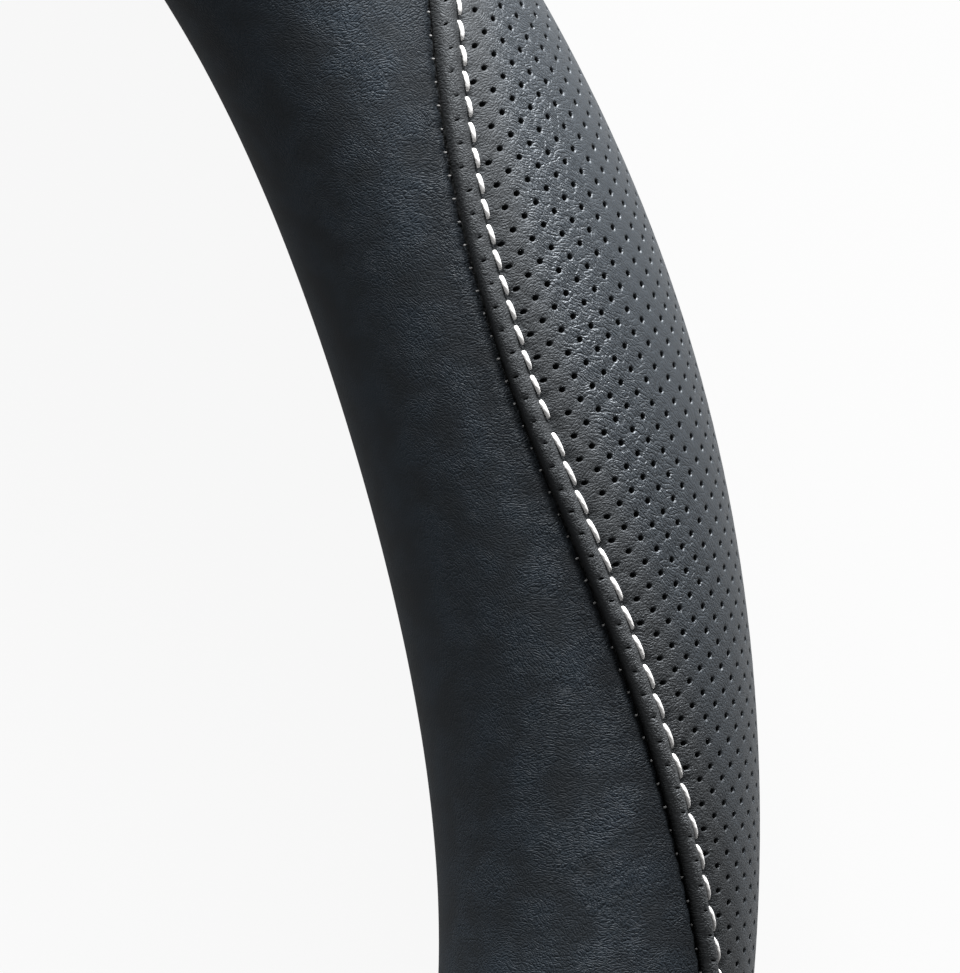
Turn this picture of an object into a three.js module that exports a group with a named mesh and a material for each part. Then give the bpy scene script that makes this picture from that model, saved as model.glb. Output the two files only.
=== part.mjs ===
import * as THREE from 'three';

// A steering wheel cover lying on its back. Millimetres and degrees, +Z up, origin on the floor
// at the centre of the ring.
// Wheel angles run anticlockwise from three o'clock, seen from the front of the wheel.
// Section angles run round the grip: 0 is the outer edge, 90 the front, 180 the inner edge and
// -90 the back, on the floor. The cover is open from the front lip on to the back lip.

// The ring and its round section.
const coverOuterRadius = 195;
const sectionRadius = 16.9;
const restingHalfAngle = 9;

// The wall, from the outside in.
const leatherThickness = 1.1;
const layerGap = 0.45;
const linerThickness = 2.3;
const ribDepth = 0.5;
const ribCount = 4;

// The two lips, where the leather is turned round the edge of the rubber.
const frontLipAngle = 190;
const backLipAngle = -108;
const linerEdgeThickness = 1.4;
const hemLength = 7;
const rebateMargin = 0.6;
const lipRoundness = 0.78;

// The swelling under each hand.
const gripAngle = 16.4;
const gripHalfSpan = 28;
const swellFront = 4.6;
const swellOut = 0.9;

// The foam pad that makes the swelling.
const padHalfSpan = 18;
const padStartAngle = 30;
const padEndAngle = 184;
const padGap = 0.55;

// The pointed leaf of perforated leather at each grip, bounded by a crease.
const creasePeak = 97;
const creasePeakAngle = 17.8;
const leafReachUp = 21;
const leafReachDown = 33;
const leafPowerUp = 2.47;
const leafPowerDown = 1.65;
const creaseBackShare = 0.64;
const seamGap = 0.45;

// The raised ridge along the leaf's edge and the groove beside it, which takes the top stitching.
const ridgeWidth = 2.75;
const ridgeHeight = 0.8;
const grooveDepth = 0.15;
const stitchInset = 3;

// Threads.
const topThreadRadius = 0.3;
const seamThreadRadius = 0.15;
const lipThreadRadius = 0.25;
const threadGap = 0.35;
const seamThreadGap = 0.55;
const threadInset = 3.5;
const threadEndGap = 2;
const topThreadSides = 4;
const fineThreadSides = 3;

// How finely the surfaces are divided.
const stepsBelowLeaf = 8;
const stepsAlongLeaf = 14;
const stepsAboveLeaf = 5;
const stepsFrontOfLeaf = 9;
const stepsBackOfLeaf = 4;
const stepsAcrossLeaf = 8;
const stepsAcrossPad = 9;
const stepsAcrossHem = 2;
const threadSteps = 44;
const lipThreadSteps = 56;

// Points nearer than this are one point.
const sameWithin = 0.0001;

// Sizes that follow from these.
const centreRadius = coverOuterRadius - sectionRadius;
const centreHeight = sectionRadius * Math.cos(THREE.MathUtils.degToRad(restingHalfAngle));
const linerOuterRadius = sectionRadius - leatherThickness - layerGap;
const linerInnerRadius = linerOuterRadius - linerThickness;
const linerEdgeInnerRadius = linerOuterRadius - linerEdgeThickness;
const hemOuterRadius = linerEdgeInnerRadius - layerGap;
const hemInnerRadius = hemOuterRadius - leatherThickness;
const hemAngle = degrees(hemLength, hemInnerRadius);
const quarterTurn = 90;
const halfTurn = 180;

function degrees(length, radius) {
  return THREE.MathUtils.radToDeg(length / radius);
}

// A point at a distance from the section's centre, pushed on along the section's turning sense.
function place(wheelAngle, sectionAngle, distance, onward = 0) {
  const wheel = THREE.MathUtils.degToRad(wheelAngle);
  const section = THREE.MathUtils.degToRad(sectionAngle);
  const out = distance * Math.cos(section) - onward * Math.sin(section);
  const up = distance * Math.sin(section) + onward * Math.cos(section);
  const radius = centreRadius + out;
  return new THREE.Vector3(radius * Math.cos(wheel), radius * Math.sin(wheel), centreHeight + up);
}

// How far the leather stands out over the pad.
function swell(wheelAngle, sectionAngle) {
  const share = Math.min(1, Math.abs(wheelAngle - gripAngle) / gripHalfSpan);
  const along = Math.cos(share * Math.PI / 2) ** 2;
  const section = THREE.MathUtils.degToRad(Math.max(sectionAngle, -quarterTurn));
  const middle = swellFront / 2;
  const across = middle * (1 + Math.sin(section)) + (swellOut - middle) * Math.cos(section);
  return along * Math.max(0, across);
}

function leatherFace(wheelAngle, sectionAngle) {
  return sectionRadius + swell(wheelAngle, sectionAngle);
}

function creaseAngle(wheelAngle) {
  const past = wheelAngle - creasePeakAngle;
  const reach = past > 0 ? leafReachUp : leafReachDown;
  const power = past > 0 ? leafPowerUp : leafPowerDown;
  return creasePeak * Math.max(0, 1 - (Math.abs(past) / reach) ** power);
}

// The leaf's back and front edges, set in from the crease by an angle. The back edge is flatter.
function leafSpan(wheelAngle, inset = 0) {
  const crease = creaseAngle(wheelAngle);
  return [inset - creaseBackShare * crease, crease - inset];
}

// The wheel angles of the leaf's two tips, where those edges meet.
function leafEnds(inset = 0) {
  const share = 1 - 2 * inset / (1 + creaseBackShare) / creasePeak;
  const low = creasePeakAngle - leafReachDown * share ** (1 / leafPowerDown);
  const high = creasePeakAngle + leafReachUp * share ** (1 / leafPowerUp);
  return [low, high];
}

function spread(first, last, steps) {
  return Array.from({ length: steps + 1 }, (_, i) => first + (last - first) * i / steps);
}

// Wheel angles along the leaf, closest together at its tips, where its edges turn fastest.
function leafAngles() {
  const [low, high] = leafEnds();
  return spread(0, Math.PI, stepsAlongLeaf).map((turn) => low + (high - low) * (1 - Math.cos(turn)) / 2);
}

// Wheel angles of the right-hand half of the ring.
function halfRingAngles(end) {
  const [low, high] = leafEnds();
  const below = spread(-end, low, stepsBelowLeaf);
  const above = spread(high, end, stepsAboveLeaf);
  return [...below, ...leafAngles().slice(1), ...above.slice(1)];
}

// A closed solid between a face and a back: each grid holds rows of { face, back } points, and
// grids that share points are joined. Open edges get a wall from face to back.
function thickSheet(grids) {
  const positions = [];
  const known = new Map();
  const triangles = [];
  const number = (pair) => {
    const values = [...pair.face.toArray(), ...pair.back.toArray()];
    const key = values.map((value) => Math.round(value / sameWithin)).join();
    if (!known.has(key)) {
      known.set(key, positions.length / 6);
      positions.push(...values);
    }
    return known.get(key);
  };
  const addTriangle = (a, b, c) => {
    if (a !== b && b !== c && c !== a) triangles.push([a, b, c]);
  };
  for (const grid of grids) {
    const numbers = grid.map((row) => row.map(number));
    for (let i = 1; i < numbers.length; i += 1) {
      for (let j = 1; j < numbers[i].length; j += 1) {
        addTriangle(numbers[i - 1][j - 1], numbers[i][j - 1], numbers[i][j]);
        addTriangle(numbers[i - 1][j - 1], numbers[i][j], numbers[i - 1][j]);
      }
    }
  }
  const index = [];
  const edges = new Set(triangles.flatMap(([a, b, c]) => [`${a} ${b}`, `${b} ${c}`, `${c} ${a}`]));
  for (const [a, b, c] of triangles) {
    index.push(2 * a, 2 * b, 2 * c, 2 * a + 1, 2 * c + 1, 2 * b + 1);
    for (const [from, to] of [[a, b], [b, c], [c, a]]) {
      if (edges.has(`${to} ${from}`)) continue;
      index.push(2 * to, 2 * from, 2 * from + 1, 2 * to, 2 * from + 1, 2 * to + 1);
    }
  }
  const geometry = new THREE.BufferGeometry();
  geometry.setAttribute('position', new THREE.Float32BufferAttribute(positions, 3));
  geometry.setIndex(index);
  return geometry;
}

// The left-hand copy of a right-hand piece.
function mirrored(geometry) {
  const copy = geometry.clone().scale(-1, 1, 1);
  const { count } = copy.attributes.position;
  const index = copy.index ? Array.from(copy.index.array) : Array.from({ length: count }, (_, i) => i);
  for (let i = 0; i < index.length; i += 3) {
    [index[i + 1], index[i + 2]] = [index[i + 2], index[i + 1]];
  }
  copy.setIndex(index);
  return copy;
}

// Leather turned round a lip: from the outer face over the rubber's edge to the end of the hem.
// side is 1 at the front lip and -1 at the back lip.
function lipRows(wheelAngle, lipAngle, side) {
  const outer = leatherFace(wheelAngle, lipAngle);
  const middle = (outer + hemInnerRadius) / 2;
  const faceHeight = (outer - hemInnerRadius) / 2;
  const faceReach = leatherThickness + layerGap;
  const turn = [lipRoundness, -lipRoundness].map((up) => ({
    face: place(wheelAngle, lipAngle, middle + up * faceHeight, side * faceReach),
    back: place(wheelAngle, lipAngle, middle + up * (faceHeight - leatherThickness), side * layerGap),
  }));
  const hem = spread(lipAngle, lipAngle - side * hemAngle, stepsAcrossHem).map((sectionAngle) => ({
    face: place(wheelAngle, sectionAngle, hemInnerRadius),
    back: place(wheelAngle, sectionAngle, hemOuterRadius),
  }));
  return [...turn, ...hem];
}

function leatherPair(wheelAngle, sectionAngle) {
  const face = leatherFace(wheelAngle, sectionAngle);
  return {
    face: place(wheelAngle, sectionAngle, face),
    back: place(wheelAngle, sectionAngle, face - leatherThickness),
  };
}

// Half of the smooth leather, with the leaf-shaped window for the perforated grip.
function smoothLeather() {
  const end = quarterTurn - degrees(layerGap / 2, centreRadius - sectionRadius);
  const front = [];
  const back = [];
  for (const wheelAngle of halfRingAngles(end)) {
    const [backEdge, frontEdge] = leafSpan(wheelAngle);
    const over = spread(frontEdge, frontLipAngle, stepsFrontOfLeaf).map((a) => leatherPair(wheelAngle, a));
    front.push([...over, ...lipRows(wheelAngle, frontLipAngle, 1)]);
    const land = [-quarterTurn - restingHalfAngle, -quarterTurn + restingHalfAngle];
    const under = [backLipAngle, land[0], ...spread(land[1], backEdge, stepsBackOfLeaf)];
    const lip = lipRows(wheelAngle, backLipAngle, -1).reverse();
    back.push([...lip, ...under.map((a) => leatherPair(wheelAngle, a))]);
  }
  return thickSheet([front, back]);
}

// Heights of the leaf's face at distances from its edge, up over the ridge and down in the groove.
const ridgeProfile = [
  [0, 0],
  [0.3 * ridgeWidth, ridgeHeight],
  [0.75 * ridgeWidth, ridgeHeight],
  [1.05 * ridgeWidth, -grooveDepth],
  [1.4 * ridgeWidth, 0],
];

function perforatedGrip() {
  const gap = degrees(seamGap, sectionRadius);
  const stations = leafAngles();
  [stations[0], stations[stepsAlongLeaf]] = leafEnds(gap);
  const grid = stations.map((wheelAngle) => {
    const [backEdge, frontEdge] = leafSpan(wheelAngle, gap);
    const width = THREE.MathUtils.degToRad(frontEdge - backEdge) * sectionRadius;
    const fit = Math.max(0, Math.min(1, width / (4 * ridgeWidth)));
    const ridge = ridgeProfile.map(([inset, height]) => [degrees(inset * fit, sectionRadius), height * fit]);
    const reach = ridge[ridge.length - 1][0];
    const middle = spread(backEdge + reach, frontEdge - reach, stepsAcrossLeaf).slice(1, -1);
    const rows = [
      ...ridge.map(([inset, height]) => [backEdge + inset, height]),
      ...middle.map((angle) => [angle, 0]),
      ...ridge.map(([inset, height]) => [frontEdge - inset, height]).reverse(),
    ];
    return rows.map(([angle, height]) => {
      const face = leatherFace(wheelAngle, angle);
      return {
        face: place(wheelAngle, angle, face + height),
        back: place(wheelAngle, angle, face - leatherThickness),
      };
    });
  });
  return thickSheet([grid]);
}

// Foam that fills the space between the rubber and the swelled leather.
function gripPad() {
  const rows = leafAngles().filter((a) => Math.abs(a - gripAngle) < padHalfSpan);
  return thickSheet([rows.map((wheelAngle) => (
    spread(padStartAngle, padEndAngle, stepsAcrossPad).map((sectionAngle) => {
      const under = leatherFace(wheelAngle, sectionAngle) - leatherThickness - padGap;
      return {
        face: place(wheelAngle, sectionAngle, under),
        back: place(wheelAngle, sectionAngle, linerOuterRadius + padGap),
      };
    })
  ))]);
}

// The moulded rubber ring: a C in section, ribbed inside, thinned at its lips for the hems.
function rubberInnerRing() {
  const margin = degrees(rebateMargin, linerInnerRadius);
  const backEdge = spread(backLipAngle, backLipAngle + hemAngle, stepsAcrossHem);
  const frontEdge = spread(frontLipAngle - hemAngle, frontLipAngle, stepsAcrossHem);
  const ribs = spread(backEdge[stepsAcrossHem] + margin, frontEdge[0] - margin, 2 * ribCount);
  const thinned = (angle) => ({ angle, inner: linerEdgeInnerRadius });
  const section = [
    ...backEdge.map(thinned),
    ...ribs.map((angle, i) => ({ angle, inner: linerInnerRadius + (i % 2 ? 0 : ribDepth) })),
    ...frontEdge.map(thinned),
  ];
  const right = halfRingAngles(quarterTurn);
  const left = right.map((a) => halfTurn - a).reverse();
  return thickSheet([[...right, ...left.slice(1)].map((wheelAngle) => (
    section.map(({ angle, inner }) => ({
      face: place(wheelAngle, angle, linerOuterRadius),
      back: place(wheelAngle, angle, inner),
    }))
  ))]);
}

// A round thread along a route of points, its two ends a thread's width apart.
function thread(points, radius, steps, sides) {
  const outline = new THREE.Shape();
  for (let i = 0; i < sides; i += 1) {
    const turn = 2 * Math.PI * i / sides;
    if (i === 0) outline.moveTo(radius, 0);
    else outline.lineTo(radius * Math.cos(turn), radius * Math.sin(turn));
  }
  const extrudePath = new THREE.CatmullRomCurve3(points, false, 'chordal');
  return new THREE.ExtrudeGeometry(outline, { steps, extrudePath, curveSegments: 1 });
}

// A loop inside the leaf's outline, set in from the crease and lying on the leather.
function leafLoop(inset, radius, gap) {
  const insetAngle = degrees(inset, sectionRadius);
  const ends = leafEnds(insetAngle);
  const out = spread(0, Math.PI, threadSteps / 2).map((turn) => (
    ends[0] + (ends[1] - ends[0]) * (1 - Math.cos(turn)) / 2
  ));
  const front = out.map((wheelAngle) => [wheelAngle, leafSpan(wheelAngle, insetAngle)[1]]);
  const back = out.slice(1, -1).map((wheelAngle) => [wheelAngle, leafSpan(wheelAngle, insetAngle)[0]]);
  const close = degrees(threadEndGap, centreRadius);
  const nearStart = [ends[0] + close, leafSpan(ends[0] + close, insetAngle)[0]];
  return [...front, ...back.reverse(), nearStart].map(([wheelAngle, angle]) => (
    place(wheelAngle, angle, leatherFace(wheelAngle, angle) + radius + gap)
  ));
}

function topStitch() {
  const points = leafLoop(seamGap + stitchInset, topThreadRadius, threadGap);
  return thread(points, topThreadRadius, threadSteps, topThreadSides);
}

function seamThread() {
  const points = leafLoop(0, seamThreadRadius, seamThreadGap);
  return thread(points, seamThreadRadius, threadSteps, fineThreadSides);
}

// The thread that sews a hem through the rubber, all round a lip, on the hem's inner side.
function lipThread(lipAngle, side) {
  const sectionAngle = lipAngle - side * degrees(threadInset, hemInnerRadius);
  const last = 3 * quarterTurn - degrees(threadEndGap, centreRadius);
  const points = spread(-quarterTurn, last, lipThreadSteps).map((wheelAngle) => (
    place(wheelAngle, sectionAngle, hemInnerRadius - threadGap - lipThreadRadius)
  ));
  return thread(points, lipThreadRadius, lipThreadSteps, fineThreadSides);
}

function surface(color, roughness) {
  return new THREE.MeshStandardMaterial({ color, roughness, metalness: 0 });
}

const finishes = {
  smoothLeather: surface(0x23272b, 0.55),
  perforatedLeather: surface(0x2b2f34, 0.5),
  rubber: surface(0x1b1b1c, 0.8),
  foam: surface(0x3c3d40, 0.95),
  whiteThread: surface(0xe9e7e1, 0.7),
  blackThread: surface(0x1d1d1f, 0.7),
};

const cover = new THREE.Group();

function add(name, geometry, material) {
  const mesh = new THREE.Mesh(geometry, material);
  mesh.name = name;
  cover.add(mesh);
}

function addPair(name, geometry, material) {
  add(`${name}_right`, geometry, material);
  add(`${name}_left`, mirrored(geometry), material);
}

add('rubber_inner_ring', rubberInnerRing(), finishes.rubber);
addPair('grip_pad', gripPad(), finishes.foam);
addPair('smooth_leather', smoothLeather(), finishes.smoothLeather);
addPair('perforated_grip', perforatedGrip(), finishes.perforatedLeather);
addPair('topstitch', topStitch(), finishes.whiteThread);
addPair('seam_thread', seamThread(), finishes.blackThread);
add('lip_thread_front', lipThread(frontLipAngle, 1), finishes.blackThread);
add('lip_thread_back', lipThread(backLipAngle, -1), finishes.blackThread);

export default cover;
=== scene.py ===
# %% [markdown]
# # A leather steering wheel cover
# The cover is a ring of leather sewn over a soft rubber channel, lying on its back. The packed
# frame gives every piece's place. This lesson dresses each piece with the detail of the real
# one: rolled edges, punched holes, single stitches and the grain of the leather. Lengths are in
# millimetres and angles in degrees until a point is made, and points are in metres.

# %% Load the frame
import bpy
import numpy as np
from mathutils import Matrix, Vector
from mathutils.geometry import delaunay_2d_cdt


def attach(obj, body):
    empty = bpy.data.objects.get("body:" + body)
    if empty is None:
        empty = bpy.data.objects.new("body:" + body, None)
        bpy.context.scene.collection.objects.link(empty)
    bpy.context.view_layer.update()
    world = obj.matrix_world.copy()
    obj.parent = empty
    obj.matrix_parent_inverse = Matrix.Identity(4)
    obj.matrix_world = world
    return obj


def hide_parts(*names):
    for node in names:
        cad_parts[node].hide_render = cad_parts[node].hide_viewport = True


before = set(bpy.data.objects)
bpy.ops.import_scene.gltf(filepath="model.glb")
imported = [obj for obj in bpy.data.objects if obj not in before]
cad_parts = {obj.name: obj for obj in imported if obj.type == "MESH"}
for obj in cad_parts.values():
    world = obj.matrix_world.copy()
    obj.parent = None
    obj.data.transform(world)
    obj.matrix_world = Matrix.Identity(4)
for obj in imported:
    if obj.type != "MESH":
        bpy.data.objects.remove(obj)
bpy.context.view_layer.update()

MM = 0.001
scene = bpy.context.scene
print("CAD nodes:", ", ".join(sorted(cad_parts)))

# %% [markdown]
# ## The camera
# The picture looks straight down on the right-hand side of the ring, from far off, so a long
# lens is held well above it. The width of what it sees is set at the height of the grip's middle.

# %% Camera
VIEW_CENTRE = (164.7, 40.5)
VIEW_WIDTH = 105.2
CAMERA_HEIGHT = 4500.0
GRIP_HEIGHT = 16.7

bpy.ops.object.select_all(action="DESELECT")
bpy.ops.object.camera_add(
    location=(VIEW_CENTRE[0] * MM, VIEW_CENTRE[1] * MM, CAMERA_HEIGHT * MM), rotation=(0, 0, 0))
camera = bpy.context.object
camera.data.sensor_fit = "HORIZONTAL"
camera.data.lens = camera.data.sensor_width * (CAMERA_HEIGHT - GRIP_HEIGHT) / VIEW_WIDTH
scene.camera = camera
print("lens", round(camera.data.lens), "mm")

# %% [markdown]
# ## Where a point of the leather lies
# The ring has two turns: the wheel angle runs round the ring, and the section angle runs round
# the grip, from 0 at the outer edge to 90 at the front and -90 on the floor. A foam pad swells
# the leather under each hand. These are the same named sizes as the solids have, so a piece that
# is placed by them needs no fitting.

# %% Sizes and places
COVER_OUTER_RADIUS = 195.0
SECTION_RADIUS = 16.9
RESTING_HALF_ANGLE = 9.0
RING_RADIUS = COVER_OUTER_RADIUS - SECTION_RADIUS
CENTRE_HEIGHT = SECTION_RADIUS * np.cos(np.radians(RESTING_HALF_ANGLE))
GRIP_ANGLE = 16.4
GRIP_HALF_SPAN = 28.0
SWELL_MIDDLE = 2.3
SWELL_LEAN = -1.4
LEATHER = 1.1


def place(wheel, section, distance, onward=0.0):
    """Points at a distance from the section's centre, pushed on along its turning sense."""
    wheel, section = np.radians(wheel), np.radians(section)
    radius = RING_RADIUS + distance * np.cos(section) - onward * np.sin(section)
    height = CENTRE_HEIGHT + distance * np.sin(section) + onward * np.cos(section)
    parts = np.broadcast_arrays(radius * np.cos(wheel), radius * np.sin(wheel), height)
    return np.stack(parts, axis=-1) * MM


def swell_share(wheel):
    share = np.minimum(1, np.abs(wheel - GRIP_ANGLE) / GRIP_HALF_SPAN)
    return np.cos(share * np.pi / 2) ** 2


def swell_across(section):
    turn = np.radians(np.maximum(section, -90))
    return np.maximum(0, SWELL_MIDDLE * (1 + np.sin(turn)) + SWELL_LEAN * np.cos(turn))


def face_radius(wheel, section):
    return SECTION_RADIUS + swell_share(wheel) * swell_across(section)


print("ring radius", RING_RADIUS, "mm, face over the pad", round(float(face_radius(16.4, 90)), 2), "mm")

# %% [markdown]
# ## The leather laid flat
# Holes are punched and seams are sewn while the leather is flat, so they keep their spacing in
# the flat sheet, not in the picture. The flat sheet has s along the rim and t round the grip.
# Its t is the length of the section's outline, and going back from t to an angle takes a few
# steps of Newton's rule.

# %% Flat sheet to ring and back
SWELL_START = np.degrees(2 * np.arctan(-SWELL_LEAN / SWELL_MIDDLE)) - 90


def swell_sum(section):
    """The swelling added up along the section, from the outer edge to a section angle."""
    def total(angle):
        turn = np.radians(np.maximum(angle, SWELL_START))
        return SWELL_MIDDLE * (turn - np.cos(turn)) + SWELL_LEAN * np.sin(turn)
    return total(section) - total(0.0)


def flatten(wheel, section):
    along = np.radians(wheel) * RING_RADIUS
    around = SECTION_RADIUS * np.radians(section) + swell_share(wheel) * swell_sum(section)
    return np.stack(np.broadcast_arrays(along, around), axis=-1)


def roll_up(flat):
    wheel = np.degrees(flat[..., 0] / RING_RADIUS)
    share = swell_share(wheel)
    section = np.degrees(flat[..., 1] / SECTION_RADIUS)
    for _ in range(8):
        error = SECTION_RADIUS * np.radians(section) + share * swell_sum(section) - flat[..., 1]
        section = section - np.degrees(error / (SECTION_RADIUS + share * swell_across(section)))
    return wheel, section


def on_leather(flat, height):
    wheel, section = roll_up(flat)
    return place(wheel, section, face_radius(wheel, section) + height)


trial = flatten(np.array([2.0, 20.0, 30.0]), np.array([-60.0, 45.0, 95.0]))
print("flat points", trial.round(2).tolist(), "back again", np.round(roll_up(trial), 3).tolist())

# %% [markdown]
# ## The outline of the perforated leaf
# The perforated leather is cut as a pointed leaf, with a crease where it meets the smooth
# leather. The crease climbs over the front at its widest place and runs down to a point at each
# end. The distance of any flat point from this outline says where the ridge, the groove and the
# stitches are, so it is measured once by a small function. It takes a few thousand points at
# once, because one table for all of them would be too large.

# %% Crease, outline and distance
CREASE_PEAK = 97.0
CREASE_PEAK_ANGLE = 17.8
LEAF_REACH_UP = 21.0
LEAF_REACH_DOWN = 33.0
LEAF_POWER_UP = 2.47
LEAF_POWER_DOWN = 1.65
CREASE_BACK_SHARE = 0.64
LEAF_LOW = CREASE_PEAK_ANGLE - LEAF_REACH_DOWN
LEAF_HIGH = CREASE_PEAK_ANGLE + LEAF_REACH_UP
AT_ONCE = 2000


def crease(wheel):
    past = wheel - CREASE_PEAK_ANGLE
    reach = np.where(past > 0, LEAF_REACH_UP, LEAF_REACH_DOWN)
    power = np.where(past > 0, LEAF_POWER_UP, LEAF_POWER_DOWN)
    return CREASE_PEAK * np.maximum(0, 1 - (np.abs(past) / reach) ** power)


def runs_along(line):
    """How far along a line each of its points lies, in millimetres."""
    return np.concatenate([[0], np.cumsum(np.linalg.norm(np.diff(line, axis=0), axis=1))])


def along_line(line, marks):
    return np.stack([np.interp(marks, runs_along(line), line[:, k]) for k in range(2)], axis=-1)


def evenly(line, step):
    """The same line with points an even step apart."""
    total = runs_along(line)[-1]
    return along_line(line, np.linspace(0, total, max(2, int(round(total / step)) + 1)))


def places_on(line, marks, ahead=0.4):
    """Points of a line at some distances from its start, and its unit direction at each."""
    centre = along_line(line, marks)
    way = along_line(line, marks + ahead) - centre
    return centre, way / np.linalg.norm(way, axis=1)[:, None]


def distance_to(points, line):
    """Distance of each flat point from a line of points, in millimetres."""
    starts, ways = line[:-1], np.diff(line, axis=0)
    lengths = np.linalg.norm(ways, axis=1)
    nearest = np.empty(len(points))
    for first in range(0, len(points), AT_ONCE):
        part = points[first:first + AT_ONCE, None] - starts[None]
        share = np.clip((part * ways).sum(-1) / lengths ** 2, 0, 1)
        gaps = np.linalg.norm(part - share[..., None] * ways, axis=-1)
        nearest[first:first + AT_ONCE] = gaps.min(1)
    return nearest


def distance_to_any(points, others):
    """Distance of each flat point from the nearest of some others."""
    nearest = np.empty(len(points))
    for first in range(0, len(points), AT_ONCE):
        part = points[first:first + AT_ONCE, None] - others[None]
        nearest[first:first + AT_ONCE] = np.linalg.norm(part, axis=-1).min(1)
    return nearest


turns = np.linspace(0, np.pi, 600)
leaf_wheel = LEAF_LOW + (LEAF_HIGH - LEAF_LOW) * (1 - np.cos(turns)) / 2
front_edge = evenly(flatten(leaf_wheel, crease(leaf_wheel)), 0.55)
back_edge = evenly(flatten(leaf_wheel, -CREASE_BACK_SHARE * crease(leaf_wheel)), 0.55)
leaf_edge = np.concatenate([front_edge, back_edge[::-1][1:]])
print("leaf outline", len(leaf_edge), "points, front edge", round(runs_along(front_edge)[-1]), "mm long")

# %% [markdown]
# The seam in the crease pulls the leather in at each of its needle holes. Their places are
# needed both for the leather's edge and for the thread, so they are found here.

# %% Needle holes of the crease seam
SEAM_PITCH = 2.63


def seam_places(line):
    """Each needle hole along an edge of the leaf, and the edge's direction there."""
    return places_on(line, np.arange(1.5, runs_along(line)[-1] - 1.0, SEAM_PITCH))


def directions(line):
    """The unit direction of a line at each of its points."""
    way = np.gradient(line, axis=0)
    return way / np.linalg.norm(way, axis=1)[:, None]


def to_the_side(way, inwards):
    return inwards * np.stack([way[:, 1], -way[:, 0]], axis=-1)


def side_signs(front, back):
    """1 for each place on the front edge, and -1 for each on the back edge."""
    return np.concatenate([np.ones(len(front)), -np.ones(len(back))])[:, None]


seam_front = seam_places(front_edge)
seam_back = seam_places(back_edge)
crease_holes = np.concatenate([seam_front[0], seam_back[0]])
print(len(crease_holes), "needle holes round the leaf")

# %% [markdown]
# ## Shader maths that reads like a formula
# A material is a net of nodes, and a net drawn in code soon hides what it does. This class wraps
# a socket, so that plus, minus and times on two of them, or on one and a number, add the Math
# node and give its result. Any other node comes from one method, which takes the node's type,
# its settings and the values or links of its sockets.

# %% Sockets with arithmetic


class Field:
    """A node's output, which may be used in a formula."""

    def __init__(self, recipe, socket):
        self.recipe = recipe
        self.socket = socket

    def math(self, operation, first, second):
        return self.recipe.node("ShaderNodeMath", {"operation": operation}, {0: first, 1: second})

    def __add__(self, other):
        return self.math("ADD", self, other)

    def __sub__(self, other):
        return self.math("SUBTRACT", self, other)

    def __rsub__(self, other):
        return self.math("SUBTRACT", other, self)

    def __mul__(self, other):
        return self.math("MULTIPLY", self, other)

    __radd__ = __add__
    __rmul__ = __mul__


print("operators:", [name for name in vars(Field) if name.startswith("__") and name != "__init__"])

# %% [markdown]
# A recipe is one material while it is made. Its methods are the few patterns that leather,
# thread, rubber and foam need: a place to measure from, noise, cells, plates with furrows, and
# a smooth step from 0 to 1. The last method feeds the shader.

# %% Recipe of a material


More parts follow.
